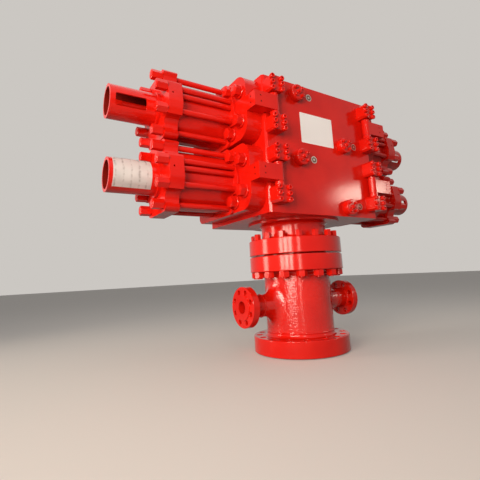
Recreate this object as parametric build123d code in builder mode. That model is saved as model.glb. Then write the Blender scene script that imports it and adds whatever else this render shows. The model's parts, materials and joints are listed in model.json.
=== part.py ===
from build123d import *
from math import cos, radians, sin
import os

# Double ram blowout preventer on a drilling spool, millimetres.
# Z is up along the main bore, X along the rams, and -Y is the hinge side.
# The origin is the centre of the spool's lower raised face.

# Main bore and its flanges
BORE_R = 173.0
FLANGE_R = 336.5
FLANGE_T = 112.7
FLANGE_BOLT_EDGE = 41.2
FLANGE_STUD_COUNT = 16
FLANGE_HOLE_R = 22.25
RAISED_R = 228.6
RAISED_H = 4.8
GROOVE_OUT_R = 204.0
GROOVE_W = 20.0
GROOVE_DEPTH = 14.3
RIM_CHAMFER = 4.0

# Drilling spool
SPOOL_H = 667.0
BARREL_R = 238.0
HUB_H = 30.0
HUB_FILLET = 22.0

# Side outlets of the spool
OUTLET_Z = 331.0
OUTLET_REACH = 490.0
OUTLET_BORE_R = 39.7
OUTLET_FLANGE_R = 133.4
OUTLET_FLANGE_T = 55.6
OUTLET_FACE_R = 84.0
OUTLET_FACE_H = 6.4
OUTLET_NECK_R = 74.0
OUTLET_FILLET = 8.0
OUTLET_BLEND = 80.0
OUTLET_WELD_X = 345.0
OUTLET_BOLT_EDGE = 31.8
OUTLET_STUD_COUNT = 8
OUTLET_HOLE_R = 15.9
SEAT_GAP = 0.3

# Preventer body
BODY_X = 984.0
BODY_Y = 764.0
BODY_NECK_H = 237.0
BODY_BELOW = 237.0
BODY_ABOVE = 210.0
BODY_CHAMFER = 13.0
COLLAR_T = 13.0
NECK_R = 238.0
NECK_FILLET = 24.0
STUD_HOLE_R = 20.5
STUD_HOLE_DEPTH = 72.0

# Rams and their cavities
RAM_W = 380.0
RAM_H = 184.0
RAM_L = 176.0
RAM_OPEN_X = 290.0
RAM_MEET = 2.5
RAM_SLIP = 2.0
PIPE_R = 64.0
MOUTH_X = 284.0
MOUTH_W = 420.0
MOUTH_H = 196.0
NOSE_CHAMFER = 24.0

# Side doors
DOOR_GAP = 0.5
DOOR_T = 112.0
DOOR_W = 708.0
DOOR_H = 423.0
DOOR_STACK_GAP = 26.0
DOOR_CORNER = 100.0
DOOR_BACK_CORNER = 48.0
INNER_BOLT_OUT = 22.5
INNER_BOLT_TURN = 39.25
OUTER_BOLT_Y = 293.0
OUTER_BOLT_DOWN = 113.5
DOOR_HOLE_R = 19.0

# Hinges: each pin stands between two brackets and carries the door's knuckle
PIN_X = 438.0
PIN_Y = -418.0
PIN_R = 18.0
PIN_SLIP = 0.05
KNUCKLE_R = 30.0
KNUCKLE_LOW = -55.0
KNUCKLE_HIGH = 63.0
ARM_FRONT = PIN_Y - KNUCKLE_R
ARM_TOP = 43.0
ARM_ROOT_Y = -330.0
ARM_SCREW_R = 5.0
ARM_SCREW_DEPTH = 14.0
ARM_SCREW_Z = (-23.0, 16.0)
ARM_SCREW_IN = 46.0
BRACKET_W = 106.0
BRACKET_PROUD = 77.0
BRACKET_H = 104.0
BRACKET_CHAMFER = 13.0
BRACKET_Z = (-137.0, 120.0)
COLLAR_R = 30.0
COLLAR_SLIP = 0.3

# Hydraulic cylinder, its lobed head and tie rods
HEAD_STACK_GAP = 9.0
HEAD_RIM = 26.0
LOBE_R = 44.0
ROD_TURNS = (19.5, 57.0)
ROD_R = 18.0
ROD_SLIP = 1.0
SCALLOP_R = 56.0
SCALLOP_OUT = 14.0
SCALLOP_UP = 8.0
DOOR_FLANGE_T = 20.0
ROD_TO_BARREL = 6.0
CYL_WALL = 26.0
CYL_L = 366.0
HEAD_T = 88.0
NUT_AF = 55.0
NUT_L = 71.0
NUT_CHAMFER = 3.0

# Pressure tube along each barrel, and the bleed port that meets it behind a flat on the head
FEED_OUT = 14.0
FEED_BELOW_ROD = 44.0
FEED_R = 17.0
FEED_BORE_R = 9.0
FEED_IN_HEAD = 36.0
PORT_R = 6.0
PORT_IN = 28.0
PAD_LOW = -25.0
PAD_H = 130.0
PAD_CUT = 10.0
PAD_TURN = 8.0

# Lock screw housing tube
TUBE_R = 102.0
TUBE_BORE_R = 84.0
TUBE_L = 298.0
TUBE_BASE_R = 114.0
TUBE_BASE_T = 20.0
SLOT_L = 182.0
SLOT_W = 72.0
SLOT_CORNER = 10.0
SLOT_FROM_MOUTH = 30.0
SLOT_TURN = 12.0

# Ram shaft with its piston, hollow for the lock screw
SHAFT_R = 45.0
SHAFT_IN_RAM = 36.0
SHAFT_BORE_R = 21.5
SHAFT_BORE_L = 320.0
PISTON_T = 60.0
PISTON_SLIP = 0.3
PISTON_GAP = 2.0

# Lock screw: spindle, thrust collar outside the head, and a square end for the key
LOCK_R = 20.0
LOCK_IN_SHAFT = 310.0
LOCK_COLLAR_R = 34.0
LOCK_COLLAR_T = 16.0
LOCK_COLLAR_GAP = 0.3
LOCK_INSIDE_MOUTH = 24.0
LOCK_SQUARE_L = 60.0
LOCK_SQUARE = 30.0

# Fluid port covers and pressure plugs on the front face
COVER_R = 55.0
COVER_T = 44.0
COVER_RIM = 5.0
COVER_BOSS_R = 15.0
COVER_BOSS_T = 8.0
COVER_LEFT_X = 225.0
COVER_RIGHT_X = 190.0
COVER_UP = 133.0
COVER_DOWN = 174.0
PLUG_DX = 126.0
PLUG_LEFT_UP = 5.0
PLUG_RIGHT_UP = 17.0
PLUG_R = 19.0
PLUG_T = 22.0
PLUG_PROUD = 2.0
PLUG_HEX = 16.0
PLUG_HEX_DEPTH = 12.0

SIDES = {"left": -1, "right": 1}
FLANGE_BOLT_R = FLANGE_R - FLANGE_BOLT_EDGE
OUTLET_BOLT_R = OUTLET_FLANGE_R - OUTLET_BOLT_EDGE
BODY_LOW = SPOOL_H + BODY_NECK_H
LOWER_RAM_Z = BODY_LOW + BODY_BELOW
UPPER_RAM_Z = LOWER_RAM_Z + DOOR_H + DOOR_STACK_GAP
BODY_HIGH = UPPER_RAM_Z + BODY_ABOVE
RAM_Z = {"lower": LOWER_RAM_Z, "upper": UPPER_RAM_Z}
FRONT_Y = -BODY_Y / 2
DOOR_IN_X = BODY_X / 2 + DOOR_GAP
DOOR_OUT_X = DOOR_IN_X + DOOR_T
HEAD_IN_X = DOOR_OUT_X + CYL_L
HEAD_OUT_X = HEAD_IN_X + HEAD_T
MOUTH_END_X = HEAD_OUT_X + TUBE_L
HEAD_H = DOOR_H + DOOR_STACK_GAP - HEAD_STACK_GAP
ROD_CIRCLE_R = (HEAD_H / 2 - LOBE_R) / sin(radians(ROD_TURNS[1]))
HEAD_R = ROD_CIRCLE_R + HEAD_RIM
CYL_R = ROD_CIRCLE_R - ROD_R - ROD_TO_BARREL
CYL_BORE_R = CYL_R - CYL_WALL
FEED_Y = -CYL_R - FEED_OUT
FEED_Z = ROD_CIRCLE_R * sin(radians(ROD_TURNS[0])) - FEED_BELOW_ROD
INNER_BOLT_R = ROD_CIRCLE_R + INNER_BOLT_OUT
INNER_BOLT_Y = INNER_BOLT_R * cos(radians(INNER_BOLT_TURN))
INNER_BOLT_Z = INNER_BOLT_R * sin(radians(INNER_BOLT_TURN))
DOOR_BOLTS = ((INNER_BOLT_Y, INNER_BOLT_Z), (OUTER_BOLT_Y, DOOR_H / 2 - OUTER_BOLT_DOWN))
ROD_SPOTS = [
    (y_sign * ROD_CIRCLE_R * cos(radians(turn)), z_sign * ROD_CIRCLE_R * sin(radians(turn)))
    for turn in ROD_TURNS
    for y_sign in (-1, 1)
    for z_sign in (-1, 1)
]
TOP_ROD_Y = ROD_CIRCLE_R * cos(radians(ROD_TURNS[1]))
COVER_SPOTS = {-1: (-COVER_LEFT_X, COVER_UP), 1: (COVER_RIGHT_X, -COVER_DOWN)}
PLUG_SPOTS = {
    -1: (PLUG_DX - COVER_LEFT_X, COVER_UP + PLUG_LEFT_UP),
    1: (PLUG_DX + COVER_RIGHT_X, PLUG_RIGHT_UP - COVER_DOWN),
}

os.makedirs("parts", exist_ok=True)


def save(part, name):
    part.label = name
    export_step(part, "parts/" + name + ".step")


def side_plane(side, x, z):
    # Faces outwards along X from the bore; its x axis is world Y times side.
    return Plane(origin=(side * x, 0, z), x_dir=(0, side, 0), z_dir=(side, 0, 0))


def radius_is(edge, radius):
    return abs(edge.radius - radius) < 0.01


def front_plane(y):
    # Faces the hinge side; its x axis is world X and its y axis world Z.
    return Plane(origin=(0, y, 0), x_dir=(1, 0, 0), z_dir=(0, -1, 0))


def bolt_circle(circle_r, count, hole_r):
    # Holes straddle the centre lines, as flange holes do.
    with PolarLocations(circle_r, count, start_angle=180 / count):
        Circle(hole_r)


def seal_groove(face_z, depth):
    with BuildSketch(Plane.XY.offset(face_z)) as groove:
        Circle(GROOVE_OUT_R)
        Circle(GROOVE_OUT_R - GROOVE_W, mode=Mode.SUBTRACT)
    extrude(groove.sketch, amount=depth, mode=Mode.SUBTRACT)


def circles(part, radius):
    return part.edges().filter_by(GeomType.CIRCLE).filter_by(lambda e: radius_is(e, radius))


# Spool flange: disc with a raised face and a short hub that is welded to the barrel
def spool_flange(face_z, way, name):
    with BuildPart() as part:
        with BuildSketch(Plane.XZ):
            with BuildLine():
                Polyline(
                    (0, face_z),
                    (RAISED_R, face_z),
                    (RAISED_R, face_z + way * RAISED_H),
                    (FLANGE_R, face_z + way * RAISED_H),
                    (FLANGE_R, face_z + way * FLANGE_T),
                    (BARREL_R, face_z + way * FLANGE_T),
                    (BARREL_R, face_z + way * (FLANGE_T + HUB_H)),
                    (0, face_z + way * (FLANGE_T + HUB_H)),
                    close=True,
                )
            make_face()
        revolve(axis=Axis.Z)
        hub_foot = circles(part, BARREL_R).sort_by(lambda e: way * e.center().Z)[0]
        fillet(hub_foot, HUB_FILLET)
        chamfer(circles(part, FLANGE_R), RIM_CHAMFER)
        with BuildSketch(Plane.XY.offset(face_z)):
            Circle(BORE_R)
            bolt_circle(FLANGE_BOLT_R, FLANGE_STUD_COUNT, FLANGE_HOLE_R)
        extrude(amount=way * (FLANGE_T + HUB_H), mode=Mode.SUBTRACT)
        seal_groove(face_z, way * GROOVE_DEPTH)
    save(part.part, name)


spool_flange(0, 1, "spool_lower_flange")
spool_flange(SPOOL_H, -1, "spool_upper_flange")


# Drilling spool: forged barrel whose side necks run into it with wide blends
with BuildPart() as drilling_spool:
    with BuildSketch(Plane.XY.offset(FLANGE_T + HUB_H)):
        Circle(BARREL_R)
    extrude(amount=SPOOL_H - 2 * (FLANGE_T + HUB_H))
    for side in SIDES.values():
        with BuildSketch(side_plane(side, 0, OUTLET_Z)):
            Circle(OUTLET_NECK_R)
        extrude(amount=OUTLET_WELD_X)
    neck_joints = drilling_spool.edges().filter_by(
        lambda e: e.geom_type != GeomType.CIRCLE and e.geom_type != GeomType.LINE
    )
    fillet(neck_joints, OUTLET_BLEND)
    with BuildSketch():
        Circle(BORE_R)
    extrude(amount=SPOOL_H, mode=Mode.SUBTRACT)
    with BuildSketch(side_plane(1, 0, OUTLET_Z)):
        Circle(OUTLET_BORE_R)
    extrude(amount=OUTLET_WELD_X, both=True, mode=Mode.SUBTRACT)
save(drilling_spool.part, "drilling_spool")


# Side outlet: flange with a short neck that is welded to the barrel's neck
def outlet(side, name):
    with BuildPart() as part:
        with BuildSketch(side_plane(side, OUTLET_WELD_X, OUTLET_Z)):
            Circle(OUTLET_NECK_R)
        extrude(amount=OUTLET_REACH - OUTLET_WELD_X - OUTLET_FACE_H)
        with BuildSketch(side_plane(side, OUTLET_REACH - OUTLET_FLANGE_T, OUTLET_Z)):
            Circle(OUTLET_FLANGE_R)
        extrude(amount=OUTLET_FLANGE_T - OUTLET_FACE_H)
        chamfer(circles(part, OUTLET_FLANGE_R), RIM_CHAMFER / 2)
        neck_ends = circles(part, OUTLET_NECK_R).sort_by(lambda e: abs(e.center().X))
        fillet(neck_ends[-1], OUTLET_FILLET)
        with BuildSketch(side_plane(side, OUTLET_REACH - OUTLET_FACE_H, OUTLET_Z)):
            Circle(OUTLET_FACE_R)
        extrude(amount=OUTLET_FACE_H)
        with BuildSketch(side_plane(side, OUTLET_REACH, OUTLET_Z)):
            bolt_circle(OUTLET_BOLT_R, OUTLET_STUD_COUNT, OUTLET_HOLE_R)
            Circle(OUTLET_BORE_R)
        extrude(amount=-OUTLET_REACH, mode=Mode.SUBTRACT)
    save(part.part, name)


# Preventer body: block, collar, neck and bottom flange, with bore and ram cavities
with BuildPart() as preventer_body:
    with BuildSketch(Plane.XZ):
        with BuildLine():
            Polyline(
                (0, SPOOL_H),
                (RAISED_R, SPOOL_H),
                (RAISED_R, SPOOL_H + RAISED_H),
                (FLANGE_R, SPOOL_H + RAISED_H),
                (FLANGE_R, SPOOL_H + FLANGE_T),
                (NECK_R, SPOOL_H + FLANGE_T),
                (NECK_R, BODY_LOW - COLLAR_T),
                (FLANGE_R, BODY_LOW - COLLAR_T),
                (FLANGE_R, BODY_LOW),
                (0, BODY_LOW),
                close=True,
            )
        make_face()
    revolve(axis=Axis.Z)
    fillet(circles(preventer_body, NECK_R), NECK_FILLET)
    chamfer(circles(preventer_body, FLANGE_R).sort_by(Axis.Z)[:2], RIM_CHAMFER)
    with BuildSketch(Plane.XY.offset(BODY_LOW)):
        Rectangle(BODY_X, BODY_Y)
    extrude(amount=BODY_HIGH - BODY_LOW)
    chamfer(preventer_body.edges().filter_by(Axis.Z), BODY_CHAMFER)
    with BuildSketch(Plane.XY.offset(SPOOL_H)):
        Circle(BORE_R)
    extrude(amount=BODY_HIGH - SPOOL_H, mode=Mode.SUBTRACT)
    seal_groove(SPOOL_H, GROOVE_DEPTH)
    seal_groove(BODY_HIGH, -GROOVE_DEPTH)
    with BuildSketch(Plane.XY.offset(SPOOL_H)):
        bolt_circle(FLANGE_BOLT_R, FLANGE_STUD_COUNT, FLANGE_HOLE_R)
    extrude(amount=FLANGE_T, mode=Mode.SUBTRACT)
    with BuildSketch(Plane.XY.offset(BODY_HIGH)):
        bolt_circle(FLANGE_BOLT_R, FLANGE_STUD_COUNT, STUD_HOLE_R)
    extrude(amount=-STUD_HOLE_DEPTH, mode=Mode.SUBTRACT)
    for ram_z in RAM_Z.values():
        with BuildSketch(side_plane(1, 0, ram_z)):
            SlotOverall(RAM_W + 2 * RAM_SLIP, RAM_H + 2 * RAM_SLIP)
        extrude(amount=BODY_X, both=True, mode=Mode.SUBTRACT)
        for side in SIDES.values():
            with BuildSketch(side_plane(side, MOUTH_X, ram_z)):
                SlotOverall(MOUTH_W, MOUTH_H)
            extrude(amount=BODY_X, mode=Mode.SUBTRACT)
            with BuildSketch(front_plane(FRONT_Y)):
                with Locations((PLUG_SPOTS[side][0], ram_z + PLUG_SPOTS[side][1])):
                    Circle(PLUG_R + SEAT_GAP)
            extrude(amount=PLUG_PROUD - PLUG_T, mode=Mode.SUBTRACT)
save(preventer_body.part, "preventer_body")


# Covers over the fluid ports: thick round discs with a small centre boss
with BuildPart() as port_covers:
    for side in SIDES.values():
        for ram_z in RAM_Z.values():
            with BuildSketch(front_plane(FRONT_Y)):
                with Locations((COVER_SPOTS[side][0], ram_z + COVER_SPOTS[side][1])):
                    Circle(COVER_R)
            extrude(amount=COVER_T)
    chamfer(port_covers.faces().filter_by(Axis.Y).group_by(Axis.Y)[0].edges(), COVER_RIM)
    for side in SIDES.values():
        for ram_z in RAM_Z.values():
            with BuildSketch(front_plane(FRONT_Y - COVER_T)):
                with Locations((COVER_SPOTS[side][0], ram_z + COVER_SPOTS[side][1])):
                    Circle(COVER_BOSS_R)
            extrude(amount=COVER_BOSS_T)
save(port_covers.part, "port_covers")


# Pressure plugs beside the covers, each with a hexagon socket
with BuildPart() as pressure_plugs:
    for side in SIDES.values():
        for ram_z in RAM_Z.values():
            plug_at = (PLUG_SPOTS[side][0], ram_z + PLUG_SPOTS[side][1])
            with BuildSketch(front_plane(FRONT_Y - PLUG_PROUD)):
                with Locations(plug_at):
                    Circle(PLUG_R)
            extrude(amount=-PLUG_T)
            with BuildSketch(front_plane(FRONT_Y - PLUG_PROUD)):
                with Locations(plug_at):
                    RegularPolygon(PLUG_HEX / 2, 6, major_radius=False)
            extrude(amount=-PLUG_HEX_DEPTH, mode=Mode.SUBTRACT)
save(pressure_plugs.part, "pressure_plugs")


# Hinge brackets: chamfered blocks on the body's front face, bored for the pin
def hinge_brackets(side, name):
    with BuildPart() as part:
        for ram_z in RAM_Z.values():
            with BuildSketch(front_plane(FRONT_Y)):
                with Locations([(side * PIN_X, ram_z + z) for z in BRACKET_Z]):
                    Rectangle(BRACKET_W, BRACKET_H)
            extrude(amount=BRACKET_PROUD)
        chamfer(part.edges().filter_by(Axis.Y), BRACKET_CHAMFER)
        with BuildSketch():
            with Locations((side * PIN_X, PIN_Y)):
                Circle(PIN_R + PIN_SLIP)
        extrude(amount=BODY_HIGH, mode=Mode.SUBTRACT)
    save(part.part, name)


# Hinge pins: each has a collar that carries the door's knuckle
def hinge_pins(side, name):
    low = BRACKET_Z[0] - BRACKET_H / 2
    high = BRACKET_Z[1] + BRACKET_H / 2
    collar_low = BRACKET_Z[0] + BRACKET_H / 2 + COLLAR_SLIP
    collar_high = KNUCKLE_LOW - COLLAR_SLIP
    with BuildPart() as part:
        for ram_z in RAM_Z.values():
            for radius, z_low, z_high in ((PIN_R, low, high), (COLLAR_R, collar_low, collar_high)):
                with BuildSketch(Plane.XY.offset(ram_z + z_low)):
                    with Locations((side * PIN_X, PIN_Y)):
                        Circle(radius)
                extrude(amount=z_high - z_low)
    save(part.part, name)


# Side door: plate and square hinge arm that turns on the pin, with holes for the ram shaft and bolts
def door(side, ram_z, name):
    with BuildPart() as part:
        with BuildSketch(side_plane(side, DOOR_IN_X, ram_z)) as outline:
            Rectangle(DOOR_W, DOOR_H)
            fillet(outline.vertices().filter_by(lambda v: v.X * side < 0), DOOR_CORNER)
            fillet(outline.vertices().filter_by(lambda v: v.X * side > DOOR_W / 2 - 1), DOOR_BACK_CORNER)
        extrude(amount=DOOR_T)
        arm_back = PIN_Y + KNUCKLE_R
        with BuildSketch(Plane.XY.offset(ram_z + KNUCKLE_LOW)):
            with BuildLine():
                Polyline(
                    (side * DOOR_OUT_X, ARM_ROOT_Y),
                    (side * DOOR_OUT_X, ARM_FRONT),
                    (side * PIN_X, ARM_FRONT),
                    (side * PIN_X, arm_back),
                    (side * DOOR_IN_X, arm_back),
                    (side * DOOR_IN_X, ARM_ROOT_Y),
                    close=True,
                )
            make_face()
        extrude(amount=ARM_TOP - KNUCKLE_LOW)
        with BuildSketch(Plane.XY.offset(ram_z + KNUCKLE_LOW)):
            with Locations((side * PIN_X, PIN_Y)):
                Circle(KNUCKLE_R)
        extrude(amount=KNUCKLE_HIGH - KNUCKLE_LOW)
        with BuildSketch(Plane.XY.offset(ram_z + KNUCKLE_LOW)):
            with Locations((side * PIN_X, PIN_Y)):
                Circle(PIN_R + PIN_SLIP)
        extrude(amount=KNUCKLE_HIGH - KNUCKLE_LOW, mode=Mode.SUBTRACT)
        with BuildSketch(side_plane(side, DOOR_OUT_X, ram_z)):
            Circle(SHAFT_R + PIN_SLIP)
            for bolt_y, bolt_z in DOOR_BOLTS:
                with GridLocations(2 * bolt_y, 2 * bolt_z, 2, 2):
                    Circle(DOOR_HOLE_R)
        extrude(amount=-DOOR_T, mode=Mode.SUBTRACT)
        with BuildSketch(side_plane(side, DOOR_OUT_X, ram_z)):
            with Locations([(side * (ARM_FRONT + ARM_SCREW_IN), z) for z in ARM_SCREW_Z]):
                Circle(ARM_SCREW_R)
        extrude(amount=-ARM_SCREW_DEPTH, mode=Mode.SUBTRACT)
        with BuildSketch(front_plane(ARM_FRONT)):
            with Locations([(side * (DOOR_OUT_X - ARM_SCREW_IN), ram_z + z) for z in ARM_SCREW_Z]):
                Circle(ARM_SCREW_R)
        extrude(amount=-ARM_SCREW_DEPTH, mode=Mode.SUBTRACT)
    save(part.part, name)


def lobed_outline():
    # A disc with flat top and bottom, square lobes for the outer rods and a scallop beside each door bolt.
    Circle(HEAD_R)
    Rectangle(2 * TOP_ROD_Y, HEAD_H)
    with Locations([spot for spot in ROD_SPOTS if abs(spot[1]) > abs(spot[0])]):
        Circle(LOBE_R)
    Rectangle(2 * HEAD_R, HEAD_H, mode=Mode.INTERSECT)
    with GridLocations(2 * (INNER_BOLT_Y + SCALLOP_OUT), 2 * (INNER_BOLT_Z + SCALLOP_UP), 2, 2):
        Circle(SCALLOP_R, mode=Mode.SUBTRACT)
    with Locations(ROD_SPOTS):
        Circle(ROD_R + ROD_SLIP, mode=Mode.SUBTRACT)


# Hydraulic cylinder: smooth barrel with a lobed flange against the door and a pressure tube along its side
def cylinder(side, ram_z, name):
    feed_spot = (side * FEED_Y, FEED_Z)
    with BuildPart() as part:
        with BuildSketch(side_plane(side, DOOR_OUT_X, ram_z)):
            lobed_outline()
        extrude(amount=DOOR_FLANGE_T)
        with BuildSketch(side_plane(side, DOOR_OUT_X, ram_z)):
            Circle(CYL_R)
        extrude(amount=CYL_L)
        with BuildSketch(side_plane(side, DOOR_OUT_X, ram_z)):
            with Locations(feed_spot):
                Circle(FEED_R)
        extrude(amount=CYL_L + FEED_IN_HEAD)
        with BuildSketch(side_plane(side, DOOR_OUT_X, ram_z)):
            Circle(CYL_BORE_R)
            with Locations(feed_spot):
                Circle(FEED_BORE_R)
        extrude(amount=CYL_L + FEED_IN_HEAD, mode=Mode.SUBTRACT)
    save(part.part, name)


# Cylinder head: lobed plate with a bore for the lock screw, and a bleed port in a flat on its front
def cylinder_head(side, ram_z, name):
    with BuildPart() as part:
        with BuildSketch(side_plane(side, HEAD_IN_X, ram_z)):
            lobed_outline()
            Circle(LOCK_R + PIN_SLIP, mode=Mode.SUBTRACT)
        extrude(amount=HEAD_T)
        with BuildSketch(side_plane(side, HEAD_IN_X, ram_z)):
            with Locations((side * FEED_Y, FEED_Z)):
                Circle(FEED_R + SEAT_GAP)
        extrude(amount=FEED_IN_HEAD + SEAT_GAP, mode=Mode.SUBTRACT)
        with BuildSketch(side_plane(side, HEAD_IN_X, ram_z)):
            with Locations((side * FEED_Y, FEED_Z)):
                Circle(FEED_BORE_R)
        extrude(amount=HEAD_T - PORT_IN + PORT_R, mode=Mode.SUBTRACT)
        with BuildSketch(side_plane(side, HEAD_IN_X, ram_z)):
            with Locations((side * -HEAD_R, PAD_LOW + PAD_H / 2)):
                Rectangle(2 * PAD_CUT, PAD_H, rotation=-side * PAD_TURN)
        extrude(amount=HEAD_T, mode=Mode.SUBTRACT)
        with BuildSketch(front_plane(-HEAD_R)):
            with Locations((side * (HEAD_OUT_X - PORT_IN), ram_z + FEED_Z)):
                Circle(PORT_R)
        extrude(amount=-HEAD_R - FEED_Y, mode=Mode.SUBTRACT)
    save(part.part, name)


# Tie rods with their long hexagon nuts on the head
def tie_rods(side, ram_z, name):
    with BuildPart() as part:
        with BuildSketch(side_plane(side, HEAD_OUT_X, ram_z)):
            with Locations(ROD_SPOTS):
                RegularPolygon(NUT_AF / 2, 6, major_radius=False)
        extrude(amount=NUT_L)
        nut_ends = part.faces().filter_by(Axis.X).sort_by(lambda f: abs(f.center().X))[-len(ROD_SPOTS) :]
        chamfer(nut_ends.edges(), NUT_CHAMFER)
        with BuildSketch(side_plane(side, DOOR_OUT_X, ram_z)):
            with Locations(ROD_SPOTS):
                Circle(ROD_R)
        extrude(amount=HEAD_OUT_X - DOOR_OUT_X)
    save(part.part, name)


# Lock screw housing tube with an open mouth and a window on the front
def lock_tube(side, ram_z, name):
    window_x = side * (MOUTH_END_X - SLOT_FROM_MOUTH - SLOT_L / 2)
    window_way = Vector(0, -1, 0).rotate(Axis.X, SLOT_TURN)
    with BuildPart() as part:
        with BuildSketch(side_plane(side, HEAD_OUT_X, ram_z)):
            Circle(TUBE_BASE_R)
        extrude(amount=TUBE_BASE_T)
        with BuildSketch(side_plane(side, HEAD_OUT_X, ram_z)):
            Circle(TUBE_R)
        extrude(amount=TUBE_L)
        with BuildSketch(side_plane(side, HEAD_OUT_X, ram_z)):
            Circle(TUBE_BORE_R)
        extrude(amount=TUBE_L, mode=Mode.SUBTRACT)
        with BuildSketch(Plane(origin=(window_x, 0, ram_z), x_dir=(1, 0, 0), z_dir=window_way)):
            RectangleRounded(SLOT_L, SLOT_W, SLOT_CORNER)
        extrude(amount=2 * TUBE_R, mode=Mode.SUBTRACT)
    save(part.part, name)


# Ram block: rounded bar with a chamfered nose, a pipe recess and a socket for the shaft
def ram_block(side, ram_z, name):
    with BuildPart() as part:
        with BuildSketch(side_plane(side, RAM_OPEN_X, ram_z)):
            SlotOverall(RAM_W, RAM_H)
        extrude(amount=RAM_L)
        nose = part.faces().filter_by(Axis.X).sort_by(lambda f: abs(f.center().X))[0]
        chamfer(nose.edges(), NOSE_CHAMFER)
        with BuildSketch(Plane.XY.offset(ram_z - RAM_H)):
            with Locations((side * (RAM_OPEN_X - RAM_MEET), 0)):
                Circle(PIPE_R)
        extrude(amount=2 * RAM_H, mode=Mode.SUBTRACT)
        with BuildSketch(side_plane(side, RAM_OPEN_X + RAM_L, ram_z)):
            Circle(SHAFT_R + SEAT_GAP)
        extrude(amount=-SHAFT_IN_RAM, mode=Mode.SUBTRACT)
    save(part.part, name)


# Ram shaft: one turned piece with the piston, bored from the piston's side for the lock screw
def ram_shaft(side, ram_z, name):
    shaft_end = RAM_OPEN_X + RAM_L - SHAFT_IN_RAM
    piston_out = HEAD_IN_X - PISTON_GAP
    piston_in = piston_out - PISTON_T
    with BuildPart() as part:
        with BuildSketch(side_plane(side, shaft_end, ram_z)):
            Circle(SHAFT_R)
        extrude(amount=piston_in - shaft_end)
        with BuildSketch(side_plane(side, piston_in, ram_z)):
            Circle(CYL_BORE_R - PISTON_SLIP)
        extrude(amount=PISTON_T)
        with BuildSketch(side_plane(side, piston_out, ram_z)):
            Circle(SHAFT_BORE_R)
        extrude(amount=-SHAFT_BORE_L, mode=Mode.SUBTRACT)
    save(part.part, name)


# Lock screw: turns in the head to hold the ram shut from behind
def lock_screw(side, ram_z, name):
    screw_in = HEAD_IN_X - PISTON_GAP - LOCK_IN_SHAFT
    square_in = MOUTH_END_X - LOCK_INSIDE_MOUTH - LOCK_SQUARE_L
    with BuildPart() as part:
        with BuildSketch(side_plane(side, screw_in, ram_z)):
            Circle(LOCK_R)
        extrude(amount=square_in - screw_in)
        with BuildSketch(side_plane(side, HEAD_OUT_X + LOCK_COLLAR_GAP, ram_z)):
            Circle(LOCK_COLLAR_R)
        extrude(amount=LOCK_COLLAR_T)
        with BuildSketch(side_plane(side, square_in, ram_z)):
            Rectangle(LOCK_SQUARE, LOCK_SQUARE)
        extrude(amount=LOCK_SQUARE_L)
    save(part.part, name)


for side_name, side in SIDES.items():
    outlet(side, side_name + "_outlet")
    hinge_brackets(side, side_name + "_hinge_brackets")
    hinge_pins(side, side_name + "_hinge_pins")
    for level, ram_z in RAM_Z.items():
        place = level + "_" + side_name
        door(side, ram_z, place + "_door")
        cylinder(side, ram_z, place + "_cylinder")
        cylinder_head(side, ram_z, place + "_cylinder_head")
        tie_rods(side, ram_z, place + "_tie_rods")
        lock_tube(side, ram_z, place + "_lock_tube")
        ram_block(side, ram_z, place + "_ram_block")
        ram_shaft(side, ram_z, place + "_ram_shaft")
        lock_screw(side, ram_z, place + "_lock_screw")
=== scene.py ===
import json
import math

import bmesh
import bpy
from mathutils import Matrix, Vector


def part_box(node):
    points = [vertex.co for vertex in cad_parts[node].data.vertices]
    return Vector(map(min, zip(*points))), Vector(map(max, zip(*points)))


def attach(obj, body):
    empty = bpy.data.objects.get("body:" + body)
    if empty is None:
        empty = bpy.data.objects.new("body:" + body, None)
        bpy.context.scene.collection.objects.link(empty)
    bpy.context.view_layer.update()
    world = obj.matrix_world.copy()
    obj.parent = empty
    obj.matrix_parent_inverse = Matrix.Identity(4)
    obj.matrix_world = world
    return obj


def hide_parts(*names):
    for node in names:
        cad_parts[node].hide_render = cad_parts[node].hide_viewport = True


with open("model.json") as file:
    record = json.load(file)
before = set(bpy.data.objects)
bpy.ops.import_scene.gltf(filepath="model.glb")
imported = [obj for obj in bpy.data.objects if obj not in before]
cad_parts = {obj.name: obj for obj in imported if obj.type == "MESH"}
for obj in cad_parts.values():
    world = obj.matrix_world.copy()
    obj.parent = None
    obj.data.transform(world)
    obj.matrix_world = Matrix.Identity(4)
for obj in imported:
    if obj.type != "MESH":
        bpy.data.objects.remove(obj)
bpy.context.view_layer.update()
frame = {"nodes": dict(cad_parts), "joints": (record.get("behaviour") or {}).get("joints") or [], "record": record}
scene = bpy.context.scene

# The camera, solved from the photograph: place in metres, angles in degrees, lengths in pixels of its square frame
CAMERA_PLACE = Vector((-1.7496, -2.0212, 0.5359))
CAMERA_YAW = 32.4
CAMERA_PITCH = 10.0
CAMERA_ROLL = -2.9
FOCAL_PIXELS = 351.7
FRAME_PIXELS = 480
AXIS_PIXEL_Y = 214
SENSOR_MM = 36.0

# Lengths from here on are metres on the real object, as in the frame. Heights on the doors and on the body's front
# count from the ram's axis, and the label's from the ground.
FLANGE_T = 0.1127
FLANGE_STUD_CIRCLE_R = 0.2953
FLANGE_STUD_COUNT = 16
STUD_NUT_ACROSS = 0.065
STUD_NUT_H = 0.041
STUD_R = 0.0206
STUD_PROUD = 0.008
STUD_HEAD_ACROSS = 0.043
STUD_HEAD_H = 0.045

DOOR_BOLTS = ((0.180, 0.147), (0.293, 0.098))  # Y and Z, repeated with both signs
DOOR_BOLT_ACROSS = 0.066
DOOR_BOLT_H = 0.040
WASHER_R = 0.0425
WASHER_T = 0.014
WASHER_LIP = 0.003

ROD_CIRCLE_R = 0.20986
ROD_TURNS = (19.5, 57.0)  # degrees up from the Y axis, in each quarter
ROD_R = 0.018
ROD_NUT_ACROSS = 0.055
ROD_PROUD = 0.002

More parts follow.
